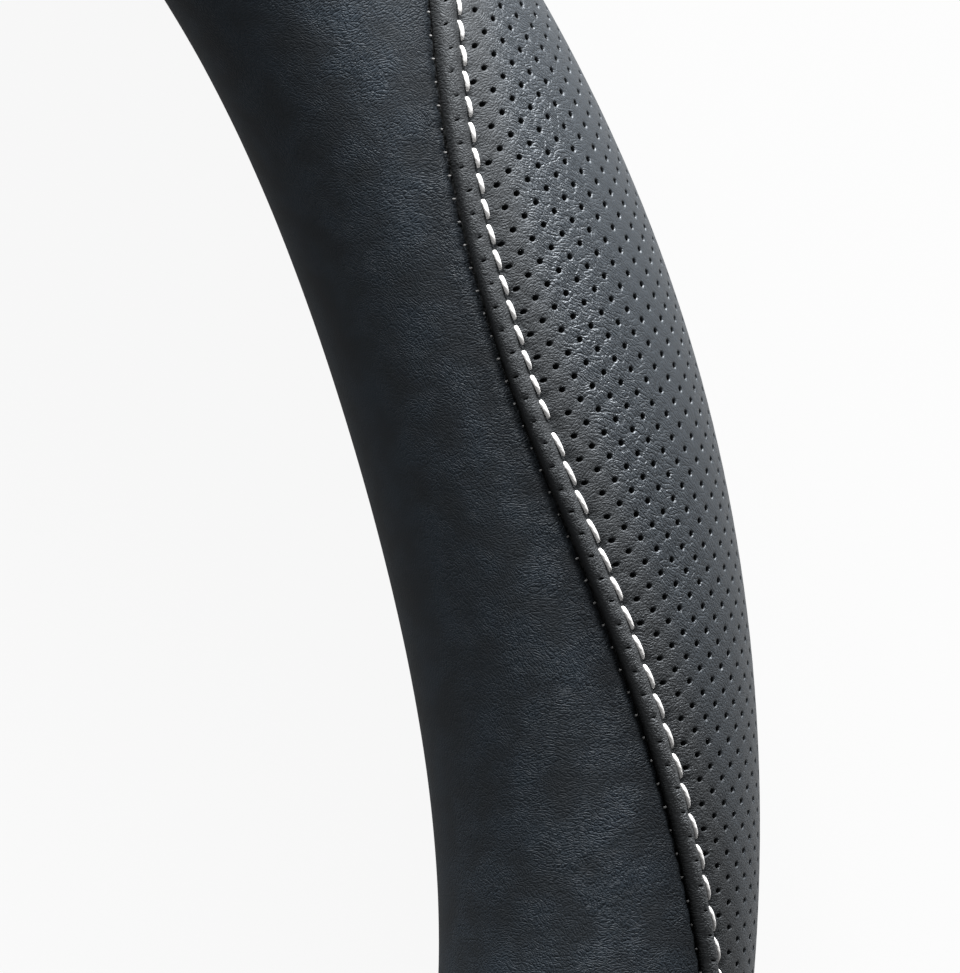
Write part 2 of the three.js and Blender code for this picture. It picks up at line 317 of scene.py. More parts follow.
class Recipe:
    """One material: constants go on the shader's own sockets, and nodes are added as needed."""

    def __init__(self, name, constants):
        self.material = bpy.data.materials.new(name)
        self.material.use_nodes = True
        self.tree = self.material.node_tree
        self.shader = self.tree.nodes["Principled BSDF"]
        for socket, value in constants.items():
            self.shader.inputs[socket].default_value = value

    def node(self, kind, settings, inputs, output=0):
        made = self.tree.nodes.new(kind)
        for key, value in settings.items():
            setattr(made, key, value)
        for key, value in inputs.items():
            self.feed(made.inputs[key], value)
        return Field(self, made.outputs[output])

    def feed(self, socket, value):
        if isinstance(value, Field):
            self.tree.links.new(value.socket, socket)
        else:
            socket.default_value = value

    def spot(self):
        """The place of a point in the object's own frame, in metres."""
        return self.node("ShaderNodeTexCoord", {}, {}, "Object")

    def flat(self):
        """The place of a point in the flat leather, in millimetres."""
        return self.node("ShaderNodeAttribute", {"attribute_name": "flat"}, {}, "Vector")

    def named(self, name):
        return self.node("ShaderNodeAttribute", {"attribute_name": name}, {}, "Fac")

    def moved(self, vector, scale=(1, 1, 1), turn=0.0):
        """The vector turned back by an angle, and then scaled, so that grain can run aslant."""
        sizes = tuple(1 / number for number in scale)
        inputs = {"Vector": vector, "Scale": sizes, "Rotation": (0, 0, np.radians(turn))}
        return self.node("ShaderNodeMapping", {"vector_type": "TEXTURE"}, inputs)

    def noise(self, vector, scale, detail=3.0, dimensions="3D"):
        inputs = {"Vector": vector, "Scale": scale, "Detail": detail, "Roughness": 0.55}
        return self.node("ShaderNodeTexNoise", {"noise_dimensions": dimensions}, inputs, 0)

    def cells(self, vector, scale):
        return self.node("ShaderNodeTexVoronoi", {"feature": "F1"}, {"Vector": vector, "Scale": scale}, 0)

    def crackle(self, vector, width):
        """Plates with narrow furrows between them: 0 in a furrow, 1 on a plate."""
        settings = {"feature": "DISTANCE_TO_EDGE", "voronoi_dimensions": "2D"}
        edge = self.node("ShaderNodeTexVoronoi", settings, {"Vector": vector, "Scale": 1.2}, 0)
        return self.ramp(edge, 0.0, 1.4 * width)

    def warped(self, vector, scale, amount):
        """The same vector, pushed about by noise, so that no pattern runs straight."""
        inputs = {"Vector": vector, "Scale": scale, "Detail": 1.0}
        cloud = self.node("ShaderNodeTexNoise", {"noise_dimensions": "2D"}, inputs, 1)
        centred = self.node("ShaderNodeVectorMath", {"operation": "SUBTRACT"}, {0: cloud, 1: (0.5, 0.5, 0.5)})
        pushed = self.node("ShaderNodeVectorMath", {"operation": "SCALE"}, {0: centred, "Scale": amount})
        return self.node("ShaderNodeVectorMath", {"operation": "ADD"}, {0: vector, 1: pushed})

    def along(self, flat):
        """How far along the ring a flat point lies, in millimetres."""
        return self.node("ShaderNodeSeparateXYZ", {}, {0: flat}, 0)

    def around(self, flat):
        """How far round the grip a flat point lies, in millimetres."""
        return self.node("ShaderNodeSeparateXYZ", {}, {0: flat}, 1)

    def ramp(self, value, low, high):
        """0 below low, 1 above high, and smooth between."""
        inputs = {"Value": value, "From Min": low, "From Max": high}
        return self.node("ShaderNodeMapRange", {"interpolation_type": "SMOOTHSTEP"}, inputs)

    def colours(self, share, first, second):
        inputs = {0: share, 6: first, 7: second}
        return self.node("ShaderNodeMix", {"data_type": "RGBA"}, inputs, 2)

    def finish(self, colour, roughness, height, depth):
        """Feed the shader. depth is how many millimetres a height of 1 stands out."""
        bump = self.node("ShaderNodeBump", {}, {"Height": height, "Distance": depth * MM})
        self.feed(self.shader.inputs["Base Color"], colour)
        self.feed(self.shader.inputs["Roughness"], roughness)
        self.feed(self.shader.inputs["Normal"], bump)
        return self.material


def grey(level, blue=0.0):
    """A linear colour from a screen level of 0 to 255, leaning to blue or, below 0, to brown."""
    levels = np.array([level - blue, level, level + blue]) / 255
    linear = np.where(levels > 0.04045, ((levels + 0.055) / 1.055) ** 2.4, levels / 12.92)
    return (*[float(x) for x in linear], 1.0)


print("colour of screen level 40:", [round(x, 4) for x in grey(40)])

# %% [markdown]
# ## Leather
# Car leather is coated and then embossed, so its grain is small plates with furrows between
# them, drawn out where it was pulled over the grip. A picture of leather could give this, but a
# pattern worked out from the flat sheet follows the grip all round and has no seam. Cells with
# their distance to the edge make the plates. On the smooth leather they run across the grip in
# some places and aslant in others, and on the perforated one they lean at the top and are tight
# and small below. Both are painted darker towards the crease, as painted shade, and the
# perforated one also in the groove beside its stitches. The coating is a little glossier on the
# crowns of the plates.

# %% Leather materials


LEATHER_GLOSS_TINT = (0.88, 0.94, 1.0, 1.0)


def smooth_leather_material():
    recipe = Recipe("smooth_leather", {"Specular IOR Level": 0.12, "Specular Tint": LEATHER_GLOSS_TINT})
    flat = recipe.flat()
    around = recipe.around(flat)
    bent = recipe.warped(flat, 0.28, 1.9)
    level = recipe.crackle(recipe.moved(bent, (2.1, 0.95, 1), -6), 0.16)
    slanted = recipe.crackle(recipe.moved(bent, (2.1, 0.95, 1), -62), 0.16)
    wandering = recipe.ramp(recipe.noise(flat, 0.11, 1, "2D"), 0.47, 0.56)
    turned = recipe.ramp(around, 36.0, 44.0) + 0.8 * wandering
    plates = level + recipe.ramp(turned, 0.0, 1.0) * (slanted - level)
    small = recipe.crackle(recipe.moved(recipe.warped(flat, 0.8, 0.9), (3.1, 1.8, 1)), 0.22)
    fine = recipe.noise(flat, 4.5, 3, "2D")
    patches = recipe.noise(flat, 0.2, 1, "2D")
    near_lip = recipe.ramp(around, 45.0, 51.0)
    strength = (0.55 + 0.45 * recipe.ramp(patches, 0.35, 0.6)) * (1 - 0.8 * near_lip)
    height = strength * (0.5 * plates + 0.36 * small) + 0.26 * fine
    tone = recipe.colours(recipe.ramp(0.5 * patches + 0.5 * fine, 0.35, 0.65), grey(33, 3), grey(40, 6))
    # Painted shade: the colour is painted near black at the crease, and a little darker out to 5 mm from it.
    edge = recipe.named("from_edge")
    clear = 0.45 * recipe.ramp(edge, 0.05, 0.3) + 0.55 * recipe.ramp(edge, 0.3, 5.0)
    colour = recipe.colours(clear, grey(10, 0), tone)
    roughness = 0.54 + 0.16 * fine - 0.12 * strength * plates
    return recipe.finish(colour, roughness, height, 0.095)


def perforated_leather_material():
    recipe = Recipe("perforated_leather", {"Specular IOR Level": 0.5, "Specular Tint": LEATHER_GLOSS_TINT})
    flat = recipe.flat()
    edge = recipe.named("from_edge")
    pit = recipe.named("pit")
    bent = recipe.warped(flat, 0.35, 1.8)
    pebbles = recipe.crackle(recipe.moved(recipe.warped(flat, 1.1, 0.7), (2.5, 2.3, 1)), 0.26)
    slanted = recipe.crackle(recipe.moved(bent, (2.2, 0.7, 1), -52), 0.17)
    pulled = recipe.crackle(recipe.moved(bent, (2.2, 0.8, 1), 4), 0.2)
    fine = recipe.noise(flat, 4.5, 3, "2D")
    near_seam = 1 - recipe.ramp(edge, 4.5, 9.5)
    tight = recipe.ramp(edge, 12.0, 20.0)
    ridge = 1 - recipe.ramp(edge, 2.2, 3.0)
    upper = recipe.ramp(recipe.along(flat), 8.0, 38.0)
    grain = (0.44 + 0.15 * ridge - 0.12 * upper) * pebbles + 0.24 * fine
    wrinkles = (1 - near_seam) * (0.25 + 0.5 * upper) * slanted + near_seam * (1 - ridge) * 0.32 * pulled
    height = (1 - 0.7 * tight) * (grain + wrinkles)
    field = recipe.colours(recipe.ramp(fine, 0.3, 0.7), grey(32, 3), grey(39, 5))
    # Painted shade: the groove beside the stitches, which faces away from the light, is painted darker.
    painted_valley_shade = recipe.colours(recipe.ramp(fine, 0.3, 0.7), grey(15, 0), grey(21, 1))
    tone = recipe.colours(0.85 * near_seam, field, painted_valley_shade)
    # The ridge is darker towards the top of the grip.
    folded = recipe.colours(upper, grey(39, 1), grey(22, 1))
    ridge_toned = recipe.colours(ridge, tone, folded)
    # Painted shade: the leaf's edge is painted near black where it goes down into the crease.
    with_crease_shade = recipe.colours(recipe.ramp(edge, 0.2, 0.45), grey(12, 0), ridge_toned)
    # The pit is painted near black: on its floor for the dark foam below, and on its wall and mouth as
    # painted shade.
    colour = recipe.colours(pit, with_crease_shade, grey(9, 0))
    roughness = 0.46 + 0.14 * fine - 0.08 * slanted + (0.12 + 0.12 * upper) * near_seam + 0.3 * pit
    return recipe.finish(colour, roughness, height, 0.08)


smooth_leather = smooth_leather_material()
perforated_leather = perforated_leather_material()
print("leather nodes:", len(smooth_leather.node_tree.nodes), "and", len(perforated_leather.node_tree.nodes))

# %% [markdown]
# ## Thread, rubber and foam
# Sewing thread is two twisted yarns, so it has slanting grooves and a slight fuzz. The stitch
# copies carry their own length as an attribute, and the grooves follow it. The rubber is moulded
# matt, with a fine spark-eroded texture and a paler bloom. The foam shows its open cells.

# %% Thread, rubber and foam materials


def thread_material(name, dark, light, depth):
    recipe = Recipe(name, {"Specular IOR Level": 0.3})
    spot = recipe.spot()
    fuzz = recipe.noise(spot, 9000.0, detail=3)
    strand = recipe.named("strand")
    twist = recipe.node("ShaderNodeMath", {"operation": "SINE"}, {0: strand})
    tone = recipe.ramp(0.8 * fuzz + 0.08 * twist, 0.1, 0.5)
    colour = recipe.colours(tone, dark, light)
    roughness = 0.62 + 0.25 * fuzz
    return recipe.finish(colour, roughness, 0.4 * twist + 0.4 * fuzz, depth)


def rubber_material():
    recipe = Recipe("rubber", {"Specular IOR Level": 0.35})
    spot = recipe.spot()
    grain = recipe.cells(spot, 1300.0)
    fine = recipe.noise(spot, 4200.0, detail=4)
    bloom = recipe.noise(spot, 60.0, detail=3)
    colour = recipe.colours(recipe.ramp(bloom, 0.35, 0.75), grey(29, 0), grey(43, 0))
    return recipe.finish(colour, 0.72 + 0.2 * fine, grain + 0.5 * fine, 0.06)


def foam_material():
    recipe = Recipe("foam", {"Specular IOR Level": 0.2})
    spot = recipe.spot()
    cells = recipe.cells(spot, 1700.0)
    fine = recipe.noise(spot, 3500.0, detail=4)
    colour = recipe.colours(recipe.ramp(cells, 0.1, 0.7), grey(44, 1), grey(72, 1))
    return recipe.finish(colour, 0.9 + 0.1 * fine, cells + 0.4 * fine, 0.25)


white_thread = thread_material("white_thread", grey(168, -1), grey(202, -1), 0.016)
black_thread = thread_material("black_thread", grey(24, 0), grey(52, 0), 0.03)
# The seam thread is black; its paler tone, up to a level of 105, is a painted glint on its specks.
seam_thread = thread_material("seam_thread", grey(30, 0), grey(105, 0), 0.02)
rubber = rubber_material()
foam = foam_material()
print("thread, rubber and foam:", white_thread.name, black_thread.name, rubber.name, foam.name)

# %% [markdown]
# ## Helpers for sheets
# Every skin starts as Blender's flat grid, whose rows and columns are then laid on the ring, as
# a flat cut of leather is pulled over the wheel. Vertices are moved by their row and column,
# because the shape is known exactly. Modifiers are applied, so that the mesh holds the whole
# shape.

# %% Sheet helpers


def take_only(*pieces):
    bpy.ops.object.select_all(action="DESELECT")
    for piece in pieces:
        piece.select_set(True)
    bpy.context.view_layer.objects.active = pieces[0]


def lay_grid(name, points, flat=None, flip=True):
    """A flat grid whose rows and columns are moved to an array of points."""
    rows, columns = points.shape[:2]
    bpy.ops.object.select_all(action="DESELECT")
    bpy.ops.mesh.primitive_grid_add(x_subdivisions=columns - 1, y_subdivisions=rows - 1, size=1)
    piece = bpy.context.object
    piece.name = piece.data.name = name
    piece.data.vertices.foreach_set("co", np.ascontiguousarray(points, dtype=np.float32).ravel())
    if flat is not None:
        store_flat(piece.data, flat.reshape(-1, 2))
    if flip:
        piece.data.flip_normals()
    piece.data.update()
    return piece


def store_flat(mesh, flat):
    values = np.zeros((len(flat), 3), dtype=np.float32)
    values[:, :2] = flat
    mesh.attributes.new("flat", "FLOAT_VECTOR", "POINT").data.foreach_set("vector", values.ravel())


def store_number(mesh, name, values):
    mesh.attributes.new(name, "FLOAT", "POINT").data.foreach_set("value", values.astype(np.float32))


def sew_together(pieces, name, within=0.01):
    """Join pieces into one and merge the points that lie on each other."""
    take_only(*pieces)
    if len(pieces) > 1:
        bpy.ops.object.join()
    bpy.ops.object.mode_set(mode="EDIT")
    bpy.ops.mesh.select_all(action="SELECT")
    bpy.ops.mesh.remove_doubles(threshold=within * MM)
    bpy.ops.object.mode_set(mode="OBJECT")
    piece = bpy.context.object
    piece.name = piece.data.name = name
    return piece


def apply(piece, kind, **settings):
    take_only(piece)
    modifier = piece.modifiers.new(kind.lower(), kind)
    for key, value in settings.items():
        setattr(modifier, key, value)
    bpy.ops.object.modifier_apply(modifier=modifier.name)


print("sheet helpers ready")

# %% [markdown]
# Every finished piece gets its material and smooth faces, rides on the cover's one body, and
# names the solids that it stands for. Pieces come in a right-hand and a left-hand
# one, so a helper makes the mirror copy and finishes both.

# %% Finishing helpers


def finish_piece(piece, material, slot, *nodes):
    """Material, smooth faces, body and the CAD nodes that the piece stands for. slot is not used."""
    piece.data.materials.clear()
    piece.data.materials.append(material)
    piece.data.polygons.foreach_set("use_smooth", [True] * len(piece.data.polygons))
    piece.data.update()
    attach(piece, "root")
    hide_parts(*nodes)
    triangles = sum(len(face.vertices) - 2 for face in piece.data.polygons)
    print(piece.name, triangles, "triangles")


def make_piece(name, points, faces):
    """A new piece from points and faces, with its faces turned outwards."""
    mesh = bpy.data.meshes.new(name)
    mesh.from_pydata(points.tolist(), [], [tuple(int(v) for v in face) for face in faces])
    piece = bpy.data.objects.new(name, mesh)
    scene.collection.objects.link(piece)
    take_only(piece)
    bpy.ops.object.mode_set(mode="EDIT")
    bpy.ops.mesh.select_all(action="SELECT")
    bpy.ops.mesh.normals_make_consistent(inside=False)
    bpy.ops.object.mode_set(mode="OBJECT")
    return piece


def mirror_copy(piece, name):
    """The left-hand piece: the same mesh mirrored, with its faces turned the right way out."""
    mesh = piece.data.copy()
    mesh.transform(Matrix.Scale(-1, 4, (1, 0, 0)))
    mesh.flip_normals()
    mesh.name = name
    copy = bpy.data.objects.new(name, mesh)
    scene.collection.objects.link(copy)
    return copy


def finish_pair(piece, node, material, slot):
    """Finish a right-hand piece and its left-hand copy, each for its own CAD node."""
    left = mirror_copy(piece, f"{node}_left_dressed")
    piece.name = piece.data.name = f"{node}_right_dressed"
    for side, half in (("right", piece), ("left", left)):
        finish_piece(half, material, slot, f"{node}_{side}")


print("finishing helpers ready")

# %% [markdown]
# ## The rubber channel
# Inside the leather is a soft rubber ring, C-shaped in section, with ribs that grip the wheel.
# It could be a torus with a slot cut away, but then the ribs would need cutting too. One closed
# outline of the section, carried round the ring, gives the rounded ribs and the thinned lips at
# once.

# %% Rubber channel
FRONT_LIP, BACK_LIP = 190.0, -108.0
LINER_OUTER, LINER_INNER, LINER_EDGE_INNER = 15.35, 13.05, 13.95
RIB_DEPTH, RIB_COUNT = 0.5, 4
HEM_INNER, HEM_LENGTH = 12.4, 7.0
HEM_ANGLE = float(np.degrees(HEM_LENGTH / HEM_INNER))
RING_STEPS = 288


def channel_section():
    """Section angles and distances of the rubber's closed outline."""
    outer = np.linspace(BACK_LIP + 0.8, FRONT_LIP - 0.8, 64)
    inner = np.linspace(FRONT_LIP - 0.8, BACK_LIP + 0.8, 129)
    first, last = BACK_LIP + HEM_ANGLE, FRONT_LIP - HEM_ANGLE
    share = np.clip((inner - first) / (last - first), 0, 1)
    rib = (0.5 - 0.5 * np.cos(2 * np.pi * RIB_COUNT * share)) ** 0.7
    step = np.interp(inner, [first - 2, first + 2, last - 2, last + 2], [0, 1, 1, 0])
    depth = LINER_EDGE_INNER + (LINER_INNER - LINER_EDGE_INNER) * step + RIB_DEPTH * (1 - rib) * step
    angles = [outer, [FRONT_LIP], inner, [BACK_LIP], outer[:1]]
    middle = (LINER_OUTER + LINER_EDGE_INNER) / 2
    distances = [np.full(64, LINER_OUTER), [middle], depth, [middle], [LINER_OUTER]]
    return np.concatenate(angles), np.concatenate(distances)


section, distance = channel_section()
ring_wheel = np.linspace(0, 360, RING_STEPS + 1)
channel = lay_grid("rubber_inner_ring_dressed", place(ring_wheel[:, None], section, distance))
channel = sew_together([channel], "rubber_inner_ring_dressed")
finish_piece(channel, rubber, "rubber", "rubber_inner_ring")

# %% [markdown]
# ## The foam pads
# A moulded foam pad lies between the rubber and the leather at each grip. It is hidden, and is a
# flat pillow with thin edges: an outer and an inner sheet that meet along their borders.

# %% Foam pads
PAD_HALF_SPAN = 18.0
PAD_START, PAD_END = 30.0, 184.0
PAD_GAP = 0.55


def pad_sheets():
    wheel = np.linspace(GRIP_ANGLE - PAD_HALF_SPAN, GRIP_ANGLE + PAD_HALF_SPAN, 41)[:, None]
    turn = np.linspace(PAD_START, PAD_END, 57)[None]
    along = np.abs((wheel - GRIP_ANGLE) / PAD_HALF_SPAN)
    around = np.abs((2 * turn - PAD_START - PAD_END) / (PAD_END - PAD_START))
    inner = LINER_OUTER + PAD_GAP
    room = face_radius(wheel, turn) - LEATHER - PAD_GAP - inner
    crown = np.sqrt((1 - along ** 8) * (1 - around ** 10))
    base = place(wheel, turn, inner + 0.5 * room * (1 - crown))
    top = place(wheel, turn, inner + room * (0.5 + 0.5 * crown))
    return top, base


pad_top, pad_base = pad_sheets()
pad = sew_together([lay_grid("top", pad_top), lay_grid("base", pad_base, flip=False)], "pad")
finish_pair(pad, "grip_pad", foam, "foam")

# %% [markdown]
# ## The smooth leather
# Each half of the ring has one skin of smooth leather with a leaf-shaped window. Its edge is
# rolled down into the crease, and at both lips it is turned round the rubber and hemmed. A
# cloth simulation would drape it, but a sewn cover is stretched tight, so its shape is known.
# A front and a back sheet are laid, sewn together along the outer edge of the ring, and given
# the leather's thickness inwards.

# %% Smooth leather
LIP_REACH, LIP_BEND, LIP_ROUND = 1.8, 2.25, 7.1
SEAM_HALF_GAP = 0.225
HALF_END = 90 - np.degrees(SEAM_HALF_GAP / (RING_RADIUS - SECTION_RADIUS))
CREASE_DIP, CREASE_ROLL = 0.62, 0.5
SEAM_DIP, SEAM_ROLL = 0.5, 0.9
NEEDLE_DIP, NEEDLE_REACH = 0.3, 0.7


def half_ring_wheel():
    """Wheel angles of one half: fine along the leaf and at the cross seams."""
    near = np.array([0, 0.08, 0.18, 0.32, 0.5, 0.8, 1.3])
    below = np.linspace(-HALF_END + 2.2, LEAF_LOW - 1.2, 48)
    leaf = np.linspace(LEAF_LOW, LEAF_HIGH, 281)
    above = np.linspace(LEAF_HIGH + 1.2, HALF_END - 2.2, 34)
    return np.concatenate([near - HALF_END, below, leaf, above, (HALF_END - near)[::-1]])


def edge_steps(edge, far, count):
    """Section angles from the crease to a far angle, closest together at the crease."""
    rolled = np.array([0, 0.12, 0.26, 0.42, 0.62, 0.9, 1.4, 2.2])
    near = edge + np.sign(far - edge) * np.degrees(rolled / SECTION_RADIUS)
    share = np.linspace(0, 1, count + 1)[1:]
    return np.concatenate([near, near[-1:] + (far - near[-1:]) * share])


def smooth_face(wheel, turn, edge):
    """Distance of the leather's face: rolled down at the crease and at the cross seams."""
    fade = np.clip(crease(wheel) / 12, 0, 1)
    from_crease = np.abs(np.radians(turn - edge)) * SECTION_RADIUS
    dip = CREASE_DIP * fade * np.exp(-(from_crease / CREASE_ROLL) ** 2)
    reach = distance_to_any(flatten(wheel, turn).reshape(-1, 2), crease_holes).reshape(turn.shape)
    dip = dip + NEEDLE_DIP * np.exp(-(reach / NEEDLE_REACH) ** 2)
    from_seam = np.radians(HALF_END - np.abs(wheel)) * RING_RADIUS
    dip = dip + SEAM_DIP * np.exp(-(from_seam / SEAM_ROLL) ** 2)
    return face_radius(wheel, turn) - dip


def lip_sheet(wheel, lip, side):
    """Points and flat places from just past the lip, round it and along the hem."""
    bend = np.radians(np.linspace(80, -90, 10))[None]
    outer = face_radius(wheel, lip)
    middle, half = (outer + HEM_INNER) / 2, (outer - HEM_INNER) / 2
    turned = place(wheel, lip, middle + half * np.sin(bend), side * LIP_REACH * np.cos(bend))
    hem_turn = np.linspace(lip, lip - side * HEM_ANGLE, 6)[1:][None]
    hem = place(wheel, hem_turn, HEM_INNER)
    along_hem = LIP_ROUND + np.linspace(0.2, 1, 5) * HEM_LENGTH
    spent = side * np.concatenate([LIP_BEND * (np.pi / 2 - bend[0]), along_hem])
    flat = flatten(wheel[:, 0], np.full(len(wheel), lip))[:, None, :] + np.stack(
        [np.zeros_like(spent), spent], axis=-1)[None]
    return np.concatenate([turned, hem], axis=1), flat


def skin_sheet(wheels, edges, lip, count, side):
    turn = np.stack([edge_steps(edge, lip, count) for edge in edges])
    wheel = np.broadcast_to(wheels[:, None], turn.shape)
    points = place(wheel, turn, smooth_face(wheel, turn, edges[:, None]))
    lip_points, lip_flat = lip_sheet(wheels[:, None], lip, side)
    points = np.concatenate([points, lip_points], axis=1)
    flat = np.concatenate([flatten(wheel, turn), lip_flat], axis=1)
    points[..., 2] = np.maximum(points[..., 2], 0)
    return points, flat


wheels = half_ring_wheel()
front_points, front_flat = skin_sheet(wheels, crease(wheels), FRONT_LIP, 36, 1)
back_points, back_flat = skin_sheet(wheels, -CREASE_BACK_SHARE * crease(wheels), BACK_LIP, 26, -1)
front_skin = lay_grid("front_skin", front_points, front_flat, flip=True)
back_skin = lay_grid("back_skin", back_points, back_flat, flip=False)
skin = sew_together([front_skin, back_skin], "smooth_leather")
skin_flat = np.zeros(3 * len(skin.data.vertices), dtype=np.float32)
skin.data.attributes["flat"].data.foreach_get("vector", skin_flat)
store_number(skin.data, "from_edge", distance_to_any(skin_flat.reshape(-1, 3)[:, :2], leaf_edge))
apply(skin, "SOLIDIFY", thickness=LEATHER * MM, offset=-1.0)
finish_pair(skin, "smooth_leather", smooth_leather, "smooth_leather")

# %% [markdown]
# ## The perforated leaf
# The leaf is punched with small round holes in slanting rows, and its edge is folded back into a
# raised ridge, held by the top stitching in the groove beside it. The fold draws the holes that
# it catches out to slits along its middle. A texture could paint the holes, but up close each
# one has a wall and a rounded rim. So the leaf is drawn flat: rows of points along the ridge,
# rings of points round each hole, and fill between. One call joins them into triangles, the
# points are rolled up on the grip, and each ring is sunk into a pit.

# %% Where the holes and stitches go
HOLE_START = np.array([35.62, 15.96])
HOLE_ALONG = np.array([2.490, 0.0585])
HOLE_AROUND = np.array([1.373, 1.798])
HOLE_BEND = np.array([[-0.0016, 0.0120, 0.0108], [-0.0138, -0.0102, -0.0070]])
SEEN_ALONG, SEEN_AROUND = (-13, 19), (-5, 7)
HOLE_RADIUS = 0.35
RIM_RADIUS = 0.53
PIT_DEPTH = 0.85
HOLE_SIDES = 8
SLIT_START, SLIT_PITCH, SLIT_SHARE = 6.9, 2.7, 0.5
RIDGE_AT_START, RIDGE_GROWTH = 2.352, 0.0255


def ridge_width(wheel):
    """How far the stitches lie from the crease: a little further towards the top of the grip."""
    return RIDGE_AT_START + RIDGE_GROWTH * np.clip(wheel, -8, 34)


def hole_lattice(i, j):
    """Hole centres in the flat leather. The rows bend where the camera sees them, and run on."""
    near_i, near_j = np.clip(i, *SEEN_ALONG), np.clip(j, *SEEN_AROUND)
    bend = HOLE_BEND[:, 0, None] * (2 * near_i * i - near_i ** 2)
    bend = bend + HOLE_BEND[:, 1, None] * (near_i * j + near_j * i - near_i * near_j)
    bend = bend + HOLE_BEND[:, 2, None] * (2 * near_j * j - near_j ** 2)
    return (HOLE_START[:, None] + HOLE_ALONG[:, None] * i + HOLE_AROUND[:, None] * j + bend).T


def inside_leaf(points, least):
    """True where a flat point is in the leaf, and the leaf at least so many degrees wide there."""
    wheel, section = roll_up(points)
    edge = crease(wheel)
    return (edge > least) & (section < edge) & (section > -CREASE_BACK_SHARE * edge)


grid_i, grid_j = np.meshgrid(np.arange(-60, 61), np.arange(-30, 22))
holes = hole_lattice(grid_i.ravel(), grid_j.ravel())
fills = hole_lattice(grid_i.ravel() + 0.5, grid_j.ravel() + 0.5)
holes, fills = holes[inside_leaf(holes, 1.0)], fills[inside_leaf(fills, 1.0)]
hole_from_edge = distance_to(holes, leaf_edge)
stitch_from_edge = ridge_width(roll_up(holes)[0])
in_field = hole_from_edge > stitch_from_edge + 0.8
field_holes = holes[in_field]
near_stitch = np.exp(-(hole_from_edge[in_field] - stitch_from_edge[in_field] - 0.8) / 2.2)
chance = np.random.default_rng(7)


def ridge_slits(edge, inwards):
    """Holes of the folded edge, drawn out to slits along the middle of the ridge."""
    marks = np.arange(SLIT_START, runs_along(edge)[-1] - 6.0, SLIT_PITCH)
    centre, way = places_on(edge, marks)
    side = to_the_side(way, inwards)
    share = SLIT_SHARE + chance.uniform(-0.1, 0.1, len(marks))
    return centre + side * (share * ridge_width(roll_up(centre)[0]))[:, None]


slits = np.concatenate([ridge_slits(front_edge, 1), ridge_slits(back_edge, -1)])
holes = np.concatenate([field_holes, slits])
slit_size = chance.uniform(0.6, 1.0, len(slits))
field_stretch = np.stack([1 - 0.28 * near_stitch, 1 + 0.35 * near_stitch], axis=-1)
slit_stretch = np.stack([0.36 * slit_size, 0.95 * slit_size], axis=-1)
stretch = np.concatenate([field_stretch, slit_stretch])
print(len(field_holes), "holes in the field and", len(slits), "slits on the ridge")

# %% [markdown]
# Next come the stitches' places. The stitch line keeps a ridge's width from the crease, and
# where the two sides meet at a tip the surplus is cut away. The pitch is a little longer on the
# lower half of the grip, as where a sewer eases the leather round the swelling.

# %% Stitch places
STITCH_PITCH_UP, STITCH_PITCH_DOWN = 2.85, 3.38
STITCH_UP, STITCH_DOWN = 2.3, 2.9
FIRST_UP, FIRST_DOWN = 0.62, 3.5
PITCH_CHANGE = 15.7
STITCH_SLANT = 5.0


def inset_line(edge, other, inwards):
    """A line set in from one edge of the leaf by the ridge's width, cut where it nears the other."""
    side = to_the_side(directions(edge), inwards)
    width = ridge_width(roll_up(edge)[0])
    line = edge + side * width[:, None]
    clear = distance_to(line, other) > width
    own = distance_to(line, edge) > width - 0.05
    return evenly(line[clear & own], 0.25)


def stitch_places(line):
    """Centre, direction and length of every stitch along a line, from its lower end."""
    runs = runs_along(line)
    change = np.interp(np.radians(PITCH_CHANGE) * RING_RADIUS, line[:, 0], runs)
    lower = np.arange(change - FIRST_DOWN, 1.6, -STITCH_PITCH_DOWN)[::-1]
    upper = np.arange(change + FIRST_UP, runs[-1] - 1.2, STITCH_PITCH_UP)
    marks = np.concatenate([lower, upper])
    lengths = np.where(marks < change, STITCH_DOWN, STITCH_UP)
    return *places_on(line, marks, 0.5), lengths


front_line = inset_line(front_edge, back_edge, 1)
back_line = inset_line(back_edge, front_edge, -1)
front_stitches = stitch_places(front_line)
back_stitches = stitch_places(back_line)
stitches = [np.concatenate(pair) for pair in zip(front_stitches, back_stitches)]
needle_holes = np.concatenate([stitches[0] + end * stitches[1] * (stitches[2] / 2 + 0.1)[:, None]
                               for end in (-1, 1)])
print(len(stitches[0]), "top stitches, first line", len(front_line), "points")

# %% [markdown]
# The leaf's cross-section gives the height of every flat point: down in the crease, up over the
# rolled ridge, down in the groove and level beyond. Each stitch also pulls the leather in where
# it goes through, so the ridge is slightly scalloped between stitches.

# %% Draw, join and roll up the leaf
RIDGE_AT = [0, 0.09, 0.17, 0.25, 0.34, 0.47, 0.63, 0.77, 0.88, 0.97, 1.08, 1.25, 1.6]
RIDGE_HEIGHT = [-0.9, -0.5, 0.1, 0.46, 0.64, 0.74, 0.76, 0.62, 0.3, -0.08, -0.2, -0.07, 0]
LEAF_GAP = 0.2
PUCKER_DEPTH, PUCKER_WIDTH = 0.3, 0.55


def leaf_height(points):
    share = distance_to(points, leaf_edge) / ridge_width(roll_up(points)[0])
    height = np.interp(share, RIDGE_AT, RIDGE_HEIGHT)
    reach = distance_to_any(points, needle_holes)
    return height - PUCKER_DEPTH * np.exp(-(reach / PUCKER_WIDTH) ** 2)


